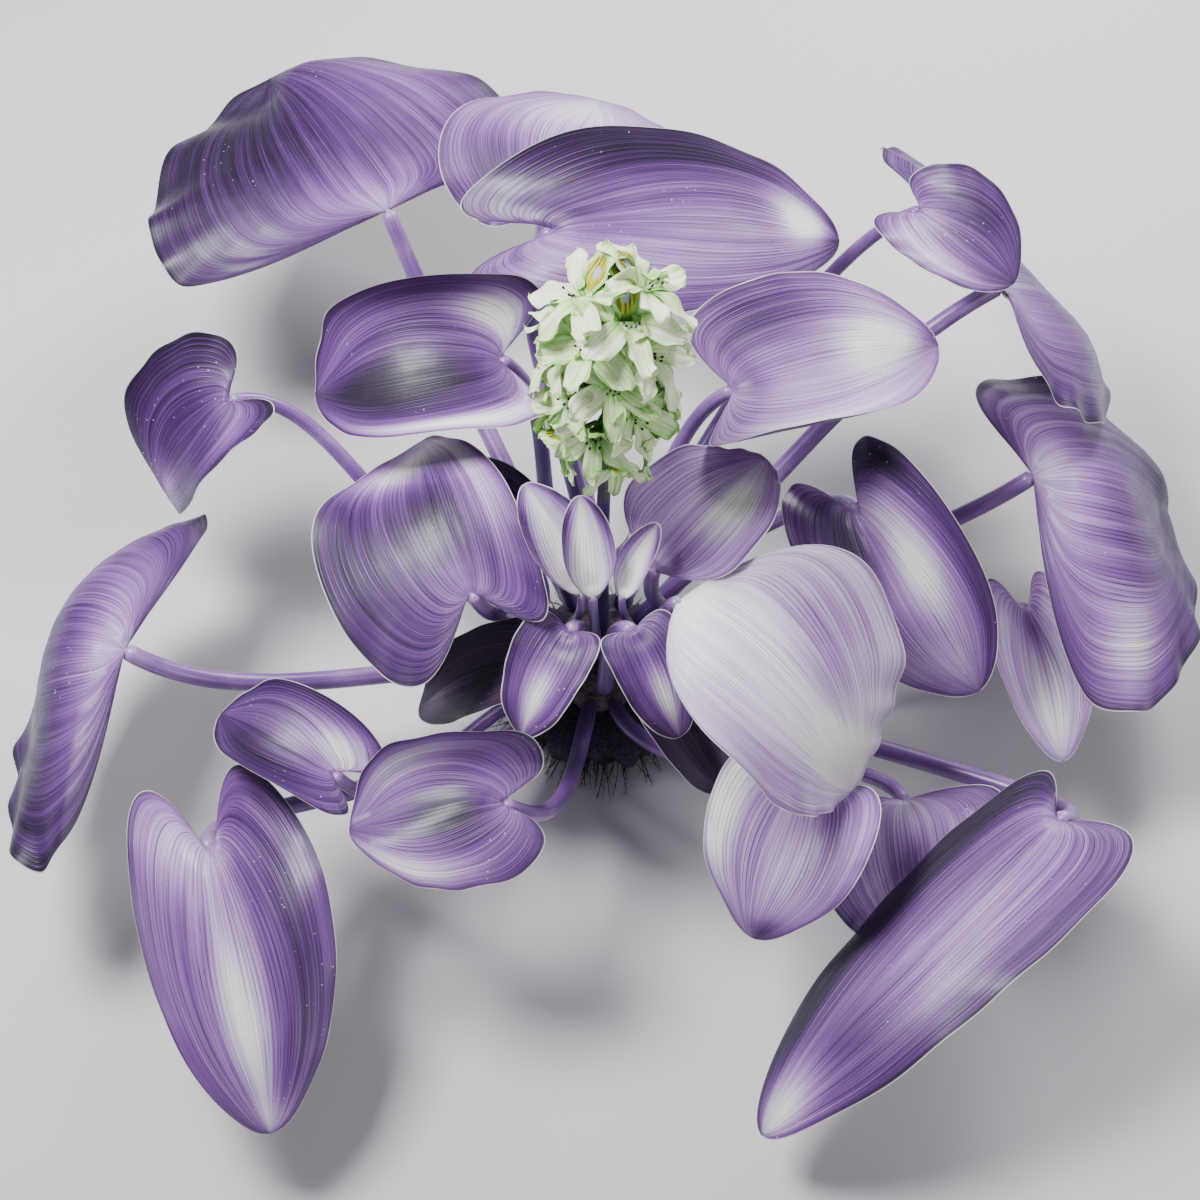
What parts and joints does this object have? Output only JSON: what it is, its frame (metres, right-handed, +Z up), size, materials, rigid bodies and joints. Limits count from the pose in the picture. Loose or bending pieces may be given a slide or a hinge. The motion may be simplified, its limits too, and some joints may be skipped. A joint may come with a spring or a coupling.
{
  "type": "water hyacinth plant",
  "caption": "Whole flowering water hyacinth: rosette of curved purple leaves on long stalks, a pale green flower spike, and a flat-bottomed clump of feathery roots.",
  "frame": {"origin": "centre of the flat underside of the root clump, on the axis of the crown", "axes": "+Z up, -Y towards the side that the flower faces, +X to the right seen from there"},
  "size_m": [0.7428, 0.7625, 0.4052],
  "materials": {
    "leaf": "waxy leaf, satin gloss",
    "young_leaf": "waxy young leaf, pale",
    "petal": "soft matt petal",
    "flower_stalk": "smooth green-purple stem",
    "crown": "rough stem base",
    "root": "fine feathery fibres"
  },
  "bodies": {
    "root": {"crown": "crown", "floret_01": "petal", "floret_02": "petal", "floret_03": "petal", "floret_04": "petal", "floret_05": "petal", "floret_06": "petal", "floret_07": "petal", "floret_08": "petal", "floret_09": "petal", "floret_10": "petal", "floret_11": "petal", "floret_12": "petal", "floret_13": "petal", "floret_14": "petal", "floret_15": "petal", "floret_16": "petal", "floret_17": "petal", "floret_18": "petal", "floret_19": "petal", "floret_20": "petal", "floret_21": "petal", "floret_22": "petal", "floret_23": "petal", "floret_24": "petal", "floret_25": "petal", "floret_26": "petal", "flower_stalk": "flower_stalk", "leaf_back": "leaf", "leaf_back_left_fan": "leaf", "leaf_back_right_fan": "leaf", "leaf_back_right_small": "leaf", "leaf_behind_flower": "leaf", "leaf_centre_left": "leaf", "leaf_centre_right": "leaf", "leaf_centre_round": "leaf", "leaf_far_left": "leaf", "leaf_far_right": "leaf", "leaf_front_broad": "leaf", "leaf_front_folded": "leaf", "leaf_front_left_long": "leaf", "leaf_front_right_fan": "leaf", "leaf_front_right_heart": "leaf", "leaf_front_right_long": "leaf", "leaf_left_broad": "leaf", "leaf_left_cupped": "leaf", "leaf_left_fan": "leaf", "leaf_left_small": "leaf", "leaf_left_under": "leaf", "leaf_low_left": "leaf", "leaf_low_right": "leaf", "leaf_right": "leaf", "leaf_right_cupped": "leaf", "leaf_right_fan": "leaf", "root_clump": "root", "spathe": "flower_stalk", "young_leaf_left": "young_leaf", "young_leaf_middle": "young_leaf", "young_leaf_right": "young_leaf"}
  },
  "joints": []
}
